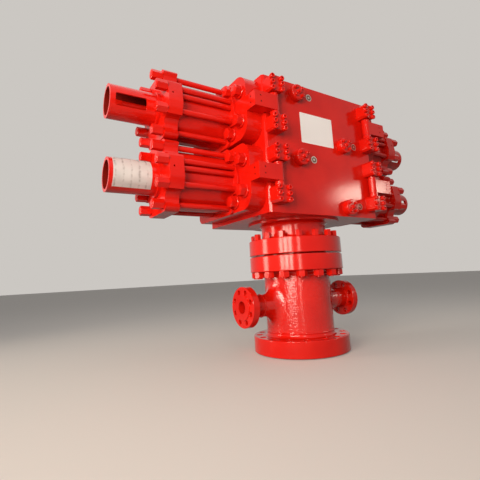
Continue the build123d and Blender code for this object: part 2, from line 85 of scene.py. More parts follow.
BRACKET_Z = (-0.137, 0.120)
BRACKET_SCREW_DX = 0.037
BRACKET_SCREW_DZ = 0.038
BRACKET_SCREW_R = 0.0165
BRACKET_SCREW_H = 0.016

COVER_SPOTS = {-1: (-0.225, 0.133), 1: (0.190, -0.174)}  # X and Z on each side
COVER_BOSS = 0.008
COVER_SCREW_CIRCLE_R = 0.037
COVER_SCREW_R = 0.0105
COVER_SCREW_H = 0.014
COVER_SCREW_COUNT = 4
COVER_PLUG_ACROSS = 0.024
COVER_PLUG_H = 0.010

PLUG_SPOTS = {-1: (-0.099, 0.138), 1: (0.316, -0.157)}
PLUG_R = 0.0193
PLUG_COLLAR_R = 0.025
PLUG_COLLAR_T = 0.0012
PLUG_COLLAR_CROWN = 1.3  # its middle's height as a share of its thickness

ARM_SCREW_R = 0.0048
ARM_SCREW_H = 0.006
ARM_SCREW_SUNK = 0.0075
ARM_SCREW_IN = 0.046
ARM_SCREW_Z = (-0.023, 0.016)

# Details of fasteners, as shares of their radius. A socket's depth is a share of the head's height.
CHAMFER_SHARE = 0.96
CHAMFER_SLOPE = math.tan(math.radians(30))
SEAM_SHARE = 1.08
SEAM_DEPTH_SHARE = 0.1
TIP_SHARE = 0.12
RIM_SHARE = 0.3
RIM_STEPS = 4
SOCKET_ACROSS_SHARE = 0.9
SOCKET_LEAD_SHARE = 0.54
SOCKET_LEAD_DEPTH_SHARE = 0.05
SOCKET_DEPTH_SHARE = 0.5

SPOOL_BARREL_R = 0.238
SPOOL_NECK_R = 0.074
HUB_BEAD_R = 0.005
HUB_RIPPLES = 150
NECK_BEAD_R = 0.004
NECK_RIPPLES = 60
RIPPLE_POINTS = 6
RIPPLE_DEPTH = 0.4  # a share of the bead's radius

LABEL_LOW = (-0.196, 1.390)
LABEL_HIGH = (0.103, 1.604)
LABEL_CORNER = 0.006
LABEL_CORNER_STEP = 15
LABEL_T = 0.0004

WRAP_X = (-1.335, -1.117)
WRAP_TURNS = (-52.0, 205.0)  # degrees up from the front
WRAP_T = 0.0004
WRAP_COLUMNS = 24
WRAP_ROWS = 90
WRAP_GAP = 0.0006
WRAP_BAGGINESS = 0.0005
WRAP_LIFT = 0.002
WRAP_LIFT_ROWS = 3
LOCK_TUBE_R = 0.102

# How the pieces of the frame are dressed
MERGE = 0.00002
FLAT_ANGLE = math.radians(0.8)
EDGE_ANGLE = math.radians(28)
SMOOTH_ANGLE = math.radians(42)
EDGE = 0.0025
EDGES = {"preventer_body": 0.002, "drilling_spool": 0.001, "left_outlet": 0.001, "right_outlet": 0.001}
RING_POINTS = 24
BEAD_POINTS = 8
TURN_SPREAD = 0.5  # radians to either side
DOOR_BOLT_TURN_SPREAD = 0.12
# Faces of a lock tube's bore that turn in past this get the painted shade
TURNED_IN = -0.5  # cosine to the way out, below which a face belongs to the bore

# Sockets of Mix (colour) and Random Value (float), which share their names with the nodes' other kinds of value
MIX_A = 6
MIX_B = 7
MIX_RESULT = 2
RANDOM_MIN = 2
RANDOM_MAX = 3
RANDOM_VALUE = 1
WAVE_RADIANS = 20  # what a wave texture runs through in a metre at a scale of 1

UP = (0.0, 0.0, 1.0)
DOWN = (0.0, 0.0, -1.0)
FRONT = (0.0, -1.0, 0.0)
ALONG_X = (1.0, 0.0, 0.0)

SIDES = {"left": -1, "right": 1}
ROOT = "preventer_stack"
HINGE_PLACES = {j["name"]: Vector(j["pos_m"]) for j in frame["joints"] if "pos_m" in j}
RAM_Z = {level: HINGE_PLACES[level + "_left_door_hinge"].z for level in ("lower", "upper")}
DOORS = [
    (f"{level}_{side_name}", side, ram_z) for level, ram_z in RAM_Z.items() for side_name, side in SIDES.items()
]


def make_camera():
    """The photograph's camera."""
    yaw, pitch, roll = (math.radians(a) for a in (CAMERA_YAW, CAMERA_PITCH, CAMERA_ROLL))
    ahead = Vector((math.sin(yaw) * math.cos(pitch), math.cos(yaw) * math.cos(pitch), math.sin(pitch)))
    right = ahead.cross(Vector(UP)).normalized()
    up = right.cross(ahead)
    turned_right = right * math.cos(roll) + up * math.sin(roll)
    turned_up = up * math.cos(roll) - right * math.sin(roll)
    data = bpy.data.cameras.new("camera")
    data.sensor_width = SENSOR_MM
    data.lens = FOCAL_PIXELS / FRAME_PIXELS * SENSOR_MM
    data.shift_y = (AXIS_PIXEL_Y - FRAME_PIXELS / 2) / FRAME_PIXELS
    camera = bpy.data.objects.new("camera", data)
    axes = Matrix((turned_right, turned_up, -ahead)).transposed()
    camera.matrix_world = Matrix.Translation(CAMERA_PLACE) @ axes.to_4x4()
    scene.collection.objects.link(camera)
    scene.camera = camera


def linear(hex_colour):
    """sRGB hex colour, such as '#E32210', as linear RGBA."""
    parts = [int(hex_colour[i : i + 2], 16) / 255 for i in (1, 3, 5)]
    return [c / 12.92 if c <= 0.04045 else ((c + 0.055) / 1.055) ** 2.4 for c in parts] + [1.0]


def add_node(tree, kind, settings=None, links=None):
    """Adds a shader or geometry node, sets its properties and sockets by name, and links its inputs."""
    node = tree.nodes.new(kind)
    for name, value in (settings or {}).items():
        if isinstance(name, int) or name in node.inputs:
            node.inputs[name].default_value = value
        else:
            setattr(node, name, value)
    for name, source in (links or {}).items():
        tree.links.new(source, node.inputs[name])
    return node


# Materials


def new_material(name, sockets):
    """A material with these even values on its shader's own sockets."""
    material = bpy.data.materials.new(name)
    material.use_nodes = True
    shader = material.node_tree.nodes["Principled BSDF"]
    for label, value in sockets.items():
        shader.inputs[label].default_value = value
    return material, material.node_tree, shader


def blotches(size_mm):
    """The scale of a noise texture whose blotches are about this wide."""
    return 1000 / size_mm


def bands(step_mm):
    """The scale of a wave texture whose bands follow at this step."""
    return 1000 * math.tau / WAVE_RADIANS / step_mm


def gloss_enamel(name, gloss, shades=("#C61309", "#D2190C"), ripple=0.0):
    """Sprayed gloss enamel: deep red, a little uneven in shade, with orange peel. Ripple adds a forging's low waves.

    Real orange peel is 1 to 2 mm wide. It is drawn at nearly 4 mm, because it wouldn't show otherwise.
    """
    material, tree, shader = new_material(name, {"Roughness": 0.13, "IOR": 1.45, "Specular IOR Level": gloss})
    place = add_node(tree, "ShaderNodeTexCoord").outputs["Object"]
    clouds = add_node(tree, "ShaderNodeTexNoise", {"Scale": blotches(200), "Detail": 3.0}, {"Vector": place})
    shade = add_node(tree, "ShaderNodeValToRGB", links={"Fac": clouds.outputs["Fac"]})
    for stop, position, colour in zip(shade.color_ramp.elements, (0.35, 0.65), shades):
        stop.position = position
        stop.color = linear(colour)
    tree.links.new(shade.outputs["Color"], shader.inputs["Base Color"])
    peel = add_node(tree, "ShaderNodeTexNoise", {"Scale": blotches(3.846), "Detail": 2.0}, {"Vector": place})
    bump = add_node(tree, "ShaderNodeBump", {"Strength": 0.12, "Distance": 0.001}, {"Height": peel.outputs["Fac"]})
    if ripple:
        wave_size = (blotches(19.23), blotches(19.23), blotches(8.333))
        flat = add_node(tree, "ShaderNodeMapping", {"Scale": wave_size}, {"Vector": place})
        waves = add_node(
            tree, "ShaderNodeTexNoise", {"Scale": 1.0, "Detail": 1.0}, {"Vector": flat.outputs["Vector"]}
        )
        bump = add_node(
            tree,
            "ShaderNodeBump",
            {"Strength": ripple, "Distance": 0.003},
            {"Height": waves.outputs["Fac"], "Normal": bump.outputs["Normal"]},
        )
    tree.links.new(bump.outputs["Normal"], shader.inputs["Normal"])
    return material


def turned_steel():
    """Bare turned steel of rams and shafts: a satin shine with rings round the X axis.

    The tool leaves rings 0.3 mm apart. They are drawn at 2.6 mm, which still shows.
    """
    material, tree, shader = new_material(
        "turned_steel", {"Base Color": linear("#B4B2AE"), "Metallic": 1.0, "Roughness": 0.32}
    )
    place = add_node(tree, "ShaderNodeTexCoord").outputs["Object"]
    rings = add_node(
        tree,
        "ShaderNodeTexWave",
        {"bands_direction": "X", "Scale": bands(2.62), "Distortion": 1.5},
        {"Vector": place},
    )
    bump = add_node(tree, "ShaderNodeBump", {"Strength": 0.1, "Distance": 0.0005}, {"Height": rings.outputs["Fac"]})
    tree.links.new(bump.outputs["Normal"], shader.inputs["Normal"])
    return material


def rusty_plug_steel():
    """Plug steel under thin rust: dull reddish brown with paler worn spots of a centimetre, and a faint shine."""
    material, tree, shader = new_material("rusty_plug_steel", {"Metallic": 0.6, "Roughness": 0.45})
    place = add_node(tree, "ShaderNodeTexCoord").outputs["Object"]
    mottle = add_node(tree, "ShaderNodeTexNoise", {"Scale": blotches(11.1), "Detail": 4.0}, {"Vector": place})
    shade = add_node(tree, "ShaderNodeValToRGB", links={"Fac": mottle.outputs["Fac"]})
    for stop, colour in zip(shade.color_ramp.elements, ("#4A2419", "#94604E")):
        stop.color = linear(colour)
    tree.links.new(shade.outputs["Color"], shader.inputs["Base Color"])
    return material


def zinc_or_hole_shade_steel(name, colour, roughness):
    """Small steel parts of one even colour and a satin shine: bright zinc plate, or a near black that is painted
    shade in the arms' tapped holes.
    """
    return new_material(name, {"Base Color": linear(colour), "Metallic": 1.0, "Roughness": roughness})[0]


def white_vinyl():
    """Vinyl label: bright white, smooth and faintly glossy, with slow waves where it follows the paint below."""
    material, tree, shader = new_material("white_vinyl", {"Base Color": linear("#ECEBEF"), "Roughness": 0.35})
    place = add_node(tree, "ShaderNodeTexCoord").outputs["Object"]
    waves = add_node(tree, "ShaderNodeTexNoise", {"Scale": blotches(33.3)}, {"Vector": place})
    bump = add_node(tree, "ShaderNodeBump", {"Strength": 0.05, "Distance": 0.001}, {"Height": waves.outputs["Fac"]})
    tree.links.new(bump.outputs["Normal"], shader.inputs["Normal"])
    return material


def wrap_paper():
    """Thin office paper: matt white, a little grey where it was handled, with faint broken rules across it.

    Its fibres are a fraction of a millimetre wide and are drawn at 2.5 mm, as a faint roughness.
    """
    material, tree, shader = new_material("wrap_paper", {"Roughness": 0.8})
    place = add_node(tree, "ShaderNodeTexCoord").outputs["Object"]
    stains = add_node(tree, "ShaderNodeTexNoise", {"Scale": blotches(111), "Detail": 3.0}, {"Vector": place})
    shade = add_node(tree, "ShaderNodeValToRGB", links={"Fac": stains.outputs["Fac"]})
    for stop, position, colour in zip(shade.color_ramp.elements, (0.35, 0.55), ("#E6E7E8", "#F2F2F3")):
        stop.position = position
        stop.color = linear(colour)
    rules = add_node(
        tree,
        "ShaderNodeTexWave",
        {"bands_direction": "X", "Scale": bands(44.9), "Distortion": 0.6, "Detail": 2.0, "Detail Scale": 4.0},
        {"Vector": place},
    )
    patches = add_node(tree, "ShaderNodeTexNoise", {"Scale": blotches(26.3)}, {"Vector": place})
    broken = add_node(
        tree, "ShaderNodeMath", {"operation": "MULTIPLY"}, {0: rules.outputs["Fac"], 1: patches.outputs["Fac"]}
    )
    line = add_node(tree, "ShaderNodeValToRGB", links={"Fac": broken.outputs[0]})
    for stop, position in zip(line.color_ramp.elements, (0.42, 0.75)):
        stop.position = position
    ruled = add_node(
        tree,
        "ShaderNodeMix",
        {"data_type": "RGBA", MIX_B: linear("#BDBABB")},
        {"Factor": line.outputs["Color"], MIX_A: shade.outputs["Color"]},
    )
    tree.links.new(ruled.outputs[MIX_RESULT], shader.inputs["Base Color"])
    fibres = add_node(tree, "ShaderNodeTexNoise", {"Scale": blotches(2.5)}, {"Vector": place})
    bump = add_node(tree, "ShaderNodeBump", {"Strength": 0.1, "Distance": 0.0005}, {"Height": fibres.outputs["Fac"]})
    tree.links.new(bump.outputs["Normal"], shader.inputs["Normal"])
    return material


enamel = gloss_enamel("red_gloss_enamel", gloss=0.36)
forged_enamel = gloss_enamel("red_enamel_on_forging", gloss=0.75, ripple=0.6)
# Darker red for the lock tubes' bores: painted shade, for the light that doesn't reach deep into a tube
bore_shade_enamel = gloss_enamel("painted_shade_in_tube_bore", gloss=0.3, shades=("#6E140E", "#7E1A12"))
zinc = zinc_or_hole_shade_steel("zinc_plated_steel", "#C4BDB4", roughness=0.35)
# Near black for the screws sunk in the arms' tapped holes: painted shade for the dark insides of the holes
hole_shade_black = zinc_or_hole_shade_steel("black_hole_shade_steel", "#26221F", roughness=0.5)
vinyl = white_vinyl()
paper = wrap_paper()
FINISHES = {"red_enamel": enamel, "machined_steel": turned_steel(), "plug_steel": rusty_plug_steel()}


# Pieces of the frame


def body_of(node):
    return next(body for body, nodes in frame["record"]["behaviour"]["bodies"].items() if node in nodes)


def slot_of(node):
    return next(p["material_slot"] for p in frame["record"]["subparts"] if p["node"] == node)


def finished(piece, body):
    """Smooths the piece's curved faces and hands it to the frame."""
    piece.data.shade_smooth()
    piece.data.set_sharp_from_angle(angle=SMOOTH_ANGLE)
    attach(piece, body)


def dressed(node, material, edge):
    """A copy of a CAD node with its flat faces joined and its sharp edges rounded, in place of the node."""
    shape = bmesh.new()
    shape.from_mesh(frame["nodes"][node].data)
    bmesh.ops.remove_doubles(shape, verts=shape.verts, dist=MERGE)
    bmesh.ops.dissolve_limit(shape, angle_limit=FLAT_ANGLE, verts=shape.verts, edges=shape.edges)
    sharp = [e for e in shape.edges if e.is_manifold and e.calc_face_angle() > EDGE_ANGLE]
    bmesh.ops.bevel(
        shape,
        geom=sharp,
        offset=edge,
        offset_type="OFFSET",
        segments=2,
        profile=0.5,
        affect="EDGES",
        clamp_overlap=True,
    )
    mesh = bpy.data.meshes.new(node + "_dressed")
    shape.to_mesh(mesh)
    shape.free()
    mesh.materials.append(material)
    piece = bpy.data.objects.new(node + "_dressed", mesh)
    scene.collection.objects.link(piece)
    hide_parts(node)
    finished(piece, body_of(node))
    piece.modifiers.new("even_normals", "WEIGHTED_NORMAL").keep_sharp = True


# Shapes of the fasteners, each one standing on its origin with its axis along Z


def round_ring(radius, height):
    turns = [math.tau * i / RING_POINTS for i in range(RING_POINTS)]
    return [(radius * math.cos(t), radius * math.sin(t), height) for t in turns]


def hex_ring(across, height, chamfer=0.0, sink=0.0):
    """A hexagon as wide as a spanner's jaw. Chamfer is the round end's radius, and sink lowers what is outside it."""
    points = []
    for i in range(RING_POINTS):
        turn = math.tau * i / RING_POINTS
        radius = across / 2 / math.cos(turn % (math.pi / 3) - math.pi / 6)
        points.append((radius * math.cos(turn), radius * math.sin(turn), height - sink * max(0.0, radius - chamfer)))
    return points


def stacked(name, rings):
    """A closed solid through rings of points, from the first ring to the last."""
    faces = [tuple(reversed(range(RING_POINTS)))]
    last = (len(rings) - 1) * RING_POINTS
    for start in range(0, last, RING_POINTS):
        for i in range(RING_POINTS):
            j = (i + 1) % RING_POINTS
            faces.append((start + i, start + j, start + j + RING_POINTS, start + i + RING_POINTS))
    faces.append(tuple(range(last, last + RING_POINTS)))
    mesh = bpy.data.meshes.new(name)
    mesh.from_pydata([p for ring in rings for p in ring], [], faces)
    return bpy.data.objects.new(name, mesh)


def nut_rings(across, low, high):
    """A hexagon with both ends chamfered."""
    end_r = CHAMFER_SHARE * across / 2
    return [
        round_ring(end_r, low),
        hex_ring(across, low, end_r, -CHAMFER_SLOPE),
        hex_ring(across, high, end_r, CHAMFER_SLOPE),
        round_ring(end_r, high),
    ]


def stud_end_rings(radius, low, proud):
    """The stud's end in its nut: a narrow dark seam and a chamfered tip."""
    tip = radius * TIP_SHARE
    return [
        round_ring(radius * SEAM_SHARE, low),
        round_ring(radius, low - radius * SEAM_DEPTH_SHARE),
        round_ring(radius, low + proud - tip),
        round_ring(radius - tip, low + proud),
    ]


def flange_nut():
    nut = nut_rings(STUD_NUT_ACROSS, 0, STUD_NUT_H)
    return stacked("flange_nut", nut + stud_end_rings(STUD_R, STUD_NUT_H, STUD_PROUD))


def flange_stud_head():
    return stacked("flange_stud_head", nut_rings(STUD_HEAD_ACROSS, 0, STUD_HEAD_H))


def door_bolt_head():
    washer = [
        round_ring(WASHER_R, 0),
        round_ring(WASHER_R, WASHER_T - WASHER_LIP),
        round_ring(WASHER_R - WASHER_LIP, WASHER_T),
    ]
    return stacked("door_bolt_head", washer + nut_rings(DOOR_BOLT_ACROSS, WASHER_T, WASHER_T + DOOR_BOLT_H))


def tie_rod(length, end):
    """A rod that carries a long nut. End is how far the nut and the rod's tip reach past the rod's length."""
    nut_top = length + end - ROD_PROUD
    rod = [round_ring(ROD_R, 0), round_ring(ROD_R, length)]
    nut = nut_rings(ROD_NUT_ACROSS, length, nut_top)
    return stacked("tie_rod", rod + nut + stud_end_rings(ROD_R, nut_top, ROD_PROUD))


def socket_screw(name, radius, height):
    """A round screw head with a well rounded rim and a hexagon socket."""
    lip = radius * RIM_SHARE
    rim = []
    for step in range(RIM_STEPS + 1):
        turn = math.pi / 2 * step / RIM_STEPS
        rim.append(round_ring(radius - lip * (1 - math.cos(turn)), height - lip * (1 - math.sin(turn))))
    socket = [
        round_ring(radius * SOCKET_LEAD_SHARE, height),
        hex_ring(radius * SOCKET_ACROSS_SHARE, height - radius * SOCKET_LEAD_DEPTH_SHARE),
        hex_ring(radius * SOCKET_ACROSS_SHARE, height * SOCKET_DEPTH_SHARE),
    ]
    return stacked(name, [round_ring(radius, 0)] + rim + socket)


def plug_collar():
    return stacked(
        "plug_collar",
        [
            round_ring(PLUG_COLLAR_R, 0),
            round_ring(PLUG_COLLAR_R, PLUG_COLLAR_T),
            round_ring(PLUG_R + PLUG_COLLAR_T, PLUG_COLLAR_T * PLUG_COLLAR_CROWN),
            round_ring(PLUG_R, PLUG_COLLAR_T),
        ],
    )


# Placing by geometry nodes

FASTENER_SOCKETS = {
    "Fastener": "Object",
    "Facing": "Vector",
    "Turn": "Float",
    "Turn Spread": "Float",
    "Seed": "Int",
    "Finish": "Material",
}


def new_tree(name, sockets):
    """A geometry tree with these named inputs. Returns it with the outputs of its input node."""
    tree = bpy.data.node_groups.new(name, "GeometryNodeTree")
    tree.interface.new_socket("Geometry", in_out="INPUT", socket_type="NodeSocketGeometry")
    for label, kind in sockets.items():
        tree.interface.new_socket(label, in_out="INPUT", socket_type="NodeSocket" + kind)
    tree.interface.new_socket("Geometry", in_out="OUTPUT", socket_type="NodeSocketGeometry")
    return tree, tree.nodes.new("NodeGroupInput").outputs


def end_tree(tree, geometry, inputs):
    """Makes the instances real and paints them."""
    real = add_node(tree, "GeometryNodeRealizeInstances", links={"Geometry": geometry})
    finish = add_node(
        tree, "GeometryNodeSetMaterial", links={"Geometry": real.outputs["Geometry"], "Material": inputs["Finish"]}
    )
    add_node(tree, "NodeGroupOutput", links={"Geometry": finish.outputs["Geometry"]})


def place_fasteners(tree, inputs, mesh, aim):
    """Puts a fastener on each vertex, along the aim and turned about it by Turn, give or take Turn Spread."""
    least = add_node(tree, "ShaderNodeMath", {"operation": "SUBTRACT"}, {0: inputs["Turn"], 1: inputs["Turn Spread"]})
    most = add_node(tree, "ShaderNodeMath", {"operation": "ADD"}, {0: inputs["Turn"], 1: inputs["Turn Spread"]})
    chance = add_node(
        tree,
        "FunctionNodeRandomValue",
        {"data_type": "FLOAT"},
        {RANDOM_MIN: least.outputs[0], RANDOM_MAX: most.outputs[0], "Seed": inputs["Seed"]},
    )
    turn = add_node(tree, "FunctionNodeAxisAngleToRotation", {"Axis": UP}, {"Angle": chance.outputs[RANDOM_VALUE]})
    turned = add_node(
        tree,
        "FunctionNodeRotateRotation",
        {"rotation_space": "LOCAL"},
        {"Rotation": aim.outputs["Rotation"], "Rotate By": turn.outputs["Rotation"]},
    )
    spots = add_node(tree, "GeometryNodeMeshToPoints", links={"Mesh": mesh})
    one = add_node(tree, "GeometryNodeObjectInfo", links={"Object": inputs["Fastener"]})
    placed = add_node(
        tree,
        "GeometryNodeInstanceOnPoints",
        links={
            "Points": spots.outputs[0],
            "Instance": one.outputs["Geometry"],
            "Rotation": turned.outputs["Rotation"],
        },
    )
    end_tree(tree, placed.outputs["Instances"], inputs)


def fasteners_at_spots():
    """Puts one fastener on each vertex of the piece."""
    tree, inputs = new_tree("fasteners_at_spots", FASTENER_SOCKETS)
    aim = add_node(tree, "FunctionNodeAlignRotationToVector", {"axis": "Z"}, {"Vector": inputs["Facing"]})
    place_fasteners(tree, inputs, inputs["Geometry"], aim)
    return tree


def fasteners_on_circle():
    """Puts fasteners round a bolt circle, half a step off its first axis, as flange holes are."""
    sockets = {"Count": "Int", "Circle Radius": "Float", "Centre": "Vector", **FASTENER_SOCKETS}
    tree, inputs = new_tree("fasteners_on_circle", sockets)
    circle = add_node(
        tree, "GeometryNodeMeshCircle", links={"Vertices": inputs["Count"], "Radius": inputs["Circle Radius"]}
    )
    half_step = add_node(tree, "ShaderNodeMath", {"operation": "DIVIDE", 0: math.pi}, {1: inputs["Count"]})
    offset = add_node(tree, "FunctionNodeAxisAngleToRotation", {"Axis": UP}, {"Angle": half_step.outputs[0]})
    aim = add_node(tree, "FunctionNodeAlignRotationToVector", {"axis": "Z"}, {"Vector": inputs["Facing"]})
    laid = add_node(
        tree,
        "FunctionNodeRotateRotation",
        {"rotation_space": "LOCAL"},
        {"Rotation": aim.outputs["Rotation"], "Rotate By": offset.outputs["Rotation"]},
    )
    at_place = add_node(
        tree,
        "GeometryNodeTransform",
        links={
            "Geometry": circle.outputs["Mesh"],
            "Translation": inputs["Centre"],
            "Rotation": laid.outputs["Rotation"],
        },
    )
    place_fasteners(tree, inputs, at_place.outputs["Geometry"], aim)
    return tree


def weld_beads():
    """A bead of overlapping ripples round a circle."""
    sockets = {
        "Centre": "Vector",
        "Facing": "Vector",
        "Circle Radius": "Float",
        "Bead Radius": "Float",
        "Ripples": "Int",
        "Points": "Int",
        "Ripple Depth": "Float",
        "Finish": "Material",
    }
    tree, inputs = new_tree("weld_bead", sockets)
    circle = add_node(
        tree,
        "GeometryNodeCurvePrimitiveCircle",
        links={"Resolution": inputs["Points"], "Radius": inputs["Circle Radius"]},
    )
    index = add_node(tree, "GeometryNodeInputIndex")
    share = add_node(
        tree, "ShaderNodeMath", {"operation": "DIVIDE"}, {0: index.outputs["Index"], 1: inputs["Points"]}
    )
    waves = add_node(tree, "ShaderNodeMath", {"operation": "MULTIPLY"}, {0: share.outputs[0], 1: inputs["Ripples"]})
    phase = add_node(tree, "ShaderNodeMath", {"operation": "FRACT"}, {0: waves.outputs[0]})
    swell = add_node(
        tree,
        "ShaderNodeMath",
        {"operation": "MULTIPLY_ADD", 2: 1.0},
        {0: phase.outputs[0], 1: inputs["Ripple Depth"]},
    )
    rippled = add_node(
        tree,
        "GeometryNodeSetCurveRadius",
        links={"Curve": circle.outputs["Curve"], "Radius": swell.outputs[0]},
    )
    section = add_node(
        tree, "GeometryNodeCurvePrimitiveCircle", {"Resolution": BEAD_POINTS}, {"Radius": inputs["Bead Radius"]}
    )
    bead = add_node(
        tree,
        "GeometryNodeCurveToMesh",
        links={"Curve": rippled.outputs["Curve"], "Profile Curve": section.outputs["Curve"]},
    )
    aim = add_node(tree, "FunctionNodeAlignRotationToVector", {"axis": "Z"}, {"Vector": inputs["Facing"]})
    at_place = add_node(
        tree,
        "GeometryNodeTransform",
        links={
            "Geometry": bead.outputs["Mesh"],
            "Translation": inputs["Centre"],
            "Rotation": aim.outputs["Rotation"],
        },
    )
    end_tree(tree, at_place.outputs["Geometry"], inputs)
    return tree


on_circle = fasteners_on_circle()
at_spots = fasteners_at_spots()
welds = weld_beads()


def grown(name, tree, values, spots=()):
    """Runs a tree over the spots and returns what it makes as a plain mesh object."""
    mesh = bpy.data.meshes.new(name)
    mesh.from_pydata([tuple(s) for s in spots], [], [])
    piece = bpy.data.objects.new(name, mesh)
    scene.collection.objects.link(piece)
    modifier = piece.modifiers.new("placing", "NODES")
    modifier.node_group = tree
    for item in tree.interface.items_tree:
        if item.in_out == "INPUT" and item.name in values:
            modifier[item.identifier] = values[item.name]
    whole = piece.evaluated_get(bpy.context.evaluated_depsgraph_get())
    result = bpy.data.meshes.new_from_object(whole)
    piece.modifiers.clear()
    piece.data = result
    return piece


# What the frame doesn't hold: fasteners, welds, label and paper

PAINTED = {"Turn Spread": TURN_SPREAD, "Finish": enamel}
body_front_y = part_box("preventer_body")[0].y
cover_front_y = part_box("port_covers")[0].y


def on_front(spots, y):
    """The place at this depth of each spot: one on each side of both ram levels, in the order of the doors."""
    return [(spots[side][0], y, ram_z + spots[side][1]) for _, side, ram_z in DOORS]


def flange_studs():
    """Stud heads on the body's lower flange, and nuts with the studs' ends under the spool's upper one."""
    circle = {**PAINTED, "Count": FLANGE_STUD_COUNT, "Circle Radius": FLANGE_STUD_CIRCLE_R}
    above = (0, 0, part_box("preventer_body")[0].z + FLANGE_T)
    below = (0, 0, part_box("spool_upper_flange")[1].z - FLANGE_T)
    for name, centre, facing, seed, fastener in (
        ("flange_stud_heads", above, UP, 4, flange_stud_head()),
        ("flange_nuts", below, DOWN, 7, flange_nut()),
    ):
        values = {**circle, "Centre": centre, "Facing": facing, "Seed": seed, "Fastener": fastener}
        finished(grown(name, on_circle, values), ROOT)


def cover_screws():
    """Four socket screws in each cover's rim, which lies lower than its boss."""
    screw = socket_screw("cover_screw", COVER_SCREW_R, COVER_SCREW_H)
    for (place, _, _), centre in zip(DOORS, on_front(COVER_SPOTS, cover_front_y + COVER_BOSS)):
        values = {
            **PAINTED,
            "Count": COVER_SCREW_COUNT,
            "Circle Radius": COVER_SCREW_CIRCLE_R,
            "Centre": centre,
            "Facing": FRONT,
            "Seed": 3,
            "Fastener": screw,
        }
        finished(grown(place + "_cover_screws", on_circle, values), ROOT)


def cover_plugs():
    """The hexagon plug in each cover's middle."""
    plug = stacked("cover_plug", nut_rings(COVER_PLUG_ACROSS, 0, COVER_PLUG_H))
    values = {**PAINTED, "Facing": FRONT, "Seed": 8, "Fastener": plug}
    spots = on_front(COVER_SPOTS, cover_front_y)
    finished(grown("cover_plugs", at_spots, values, spots), ROOT)


def plug_collars():
    """The thin seal washer that shows round each pressure plug."""
    values = {"Facing": FRONT, "Seed": 1, "Finish": zinc, "Fastener": plug_collar()}
    spots = on_front(PLUG_SPOTS, body_front_y)
    finished(grown("plug_collars", at_spots, values, spots), ROOT)


def bracket_screws():
    """Two columns of three screws in each hinge bracket, on both sides of the pin."""
    screw = socket_screw("bracket_screw", BRACKET_SCREW_R, BRACKET_SCREW_H)
    values = {**PAINTED, "Facing": FRONT, "Seed": 5, "Fastener": screw}
    bracket_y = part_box("left_hinge_brackets")[0].y
    for side_name in SIDES:
        pin_x = HINGE_PLACES[f"upper_{side_name}_door_hinge"].x
        spots = [
            (pin_x + column * BRACKET_SCREW_DX, bracket_y, ram_z + bracket_z + row * BRACKET_SCREW_DZ)
            for ram_z in RAM_Z.values()
            for bracket_z in BRACKET_Z
            for column in (-1, 1)
            for row in (-1, 0, 1)
        ]
        finished(grown(side_name + "_bracket_screws", at_spots, values, spots), ROOT)


def door_bolts(place, side, ram_z):
    """Bolt heads on their washers, four pairs round the barrel's flange."""
    out_x = side * max(abs(c.x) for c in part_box(place + "_door"))
    spots = [(out_x, a * y, ram_z + b * z) for y, z in DOOR_BOLTS for a in (-1, 1) for b in (-1, 1)]
    values = {
        "Facing": (side, 0.0, 0.0),
        "Turn": math.pi / 2,
        "Turn Spread": DOOR_BOLT_TURN_SPREAD,
        "Seed": 11,
        "Finish": enamel,
        "Fastener": door_bolt_head(),
    }
    finished(grown(place + "_door_bolts", at_spots, values, spots), place + "_door_assembly")


def arm_hole_shade_screws(place, side, ram_z):
    """Dark screws just below the face, in the tapped holes on the arm's end and front. Their black is painted shade
    for the holes' dark insides.
    """
    low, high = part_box(place + "_door")
    out_x = side * max(abs(low.x), abs(high.x))
    screw = socket_screw("arm_set_screw", ARM_SCREW_R, ARM_SCREW_H)
    for name, facing, x, y in (
        ("end", (side, 0.0, 0.0), out_x - side * ARM_SCREW_SUNK, low.y + ARM_SCREW_IN),
        ("front", FRONT, out_x - side * ARM_SCREW_IN, low.y + ARM_SCREW_SUNK),
    ):
        spots = [(x, y, ram_z + z) for z in ARM_SCREW_Z]
        values = {
            "Facing": facing,
            "Turn Spread": TURN_SPREAD,
            "Seed": 6,
            "Finish": hole_shade_black,
            "Fastener": screw,
        }
        piece = grown(f"{place}_arm_{name}_screws", at_spots, values, spots)
        finished(piece, place + "_door_assembly")


def tie_rods(place, side, ram_z):
    """Eight rods with their long nuts, from the barrel's flange through the cylinder head."""
    inner, outer = sorted(abs(c.x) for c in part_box(place + "_tie_rods"))
    head_out = max(abs(c.x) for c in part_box(place + "_cylinder_head"))
    spots = [
        (side * inner, a * ROD_CIRCLE_R * math.cos(t), ram_z + b * ROD_CIRCLE_R * math.sin(t))
        for t in (math.radians(turn) for turn in ROD_TURNS)
        for a in (-1, 1)
        for b in (-1, 1)
    ]
    values = {
        **PAINTED,
        "Facing": (side, 0.0, 0.0),
        "Turn": math.pi / 2,
        "Seed": 2,
        "Fastener": tie_rod(head_out - inner, outer - head_out),
    }
    piece = grown(place + "_tie_rods_and_nuts", at_spots, values, spots)
    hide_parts(place + "_tie_rods")
    finished(piece, place + "_door_assembly")


def paint_bore_shade(place, ram_z):
    """Gives the wall of a lock tube's bore a darker red: painted shade, as little light reaches deep into the tube.
    """
    mesh = bpy.data.objects[place + "_lock_tube_dressed"].data
    mesh.materials.append(bore_shade_enamel)
    for face in mesh.polygons:
        out = Vector((0.0, face.center.y, face.center.z - ram_z)).normalized()
        if face.normal.dot(out) < TURNED_IN:
            face.material_index = 1


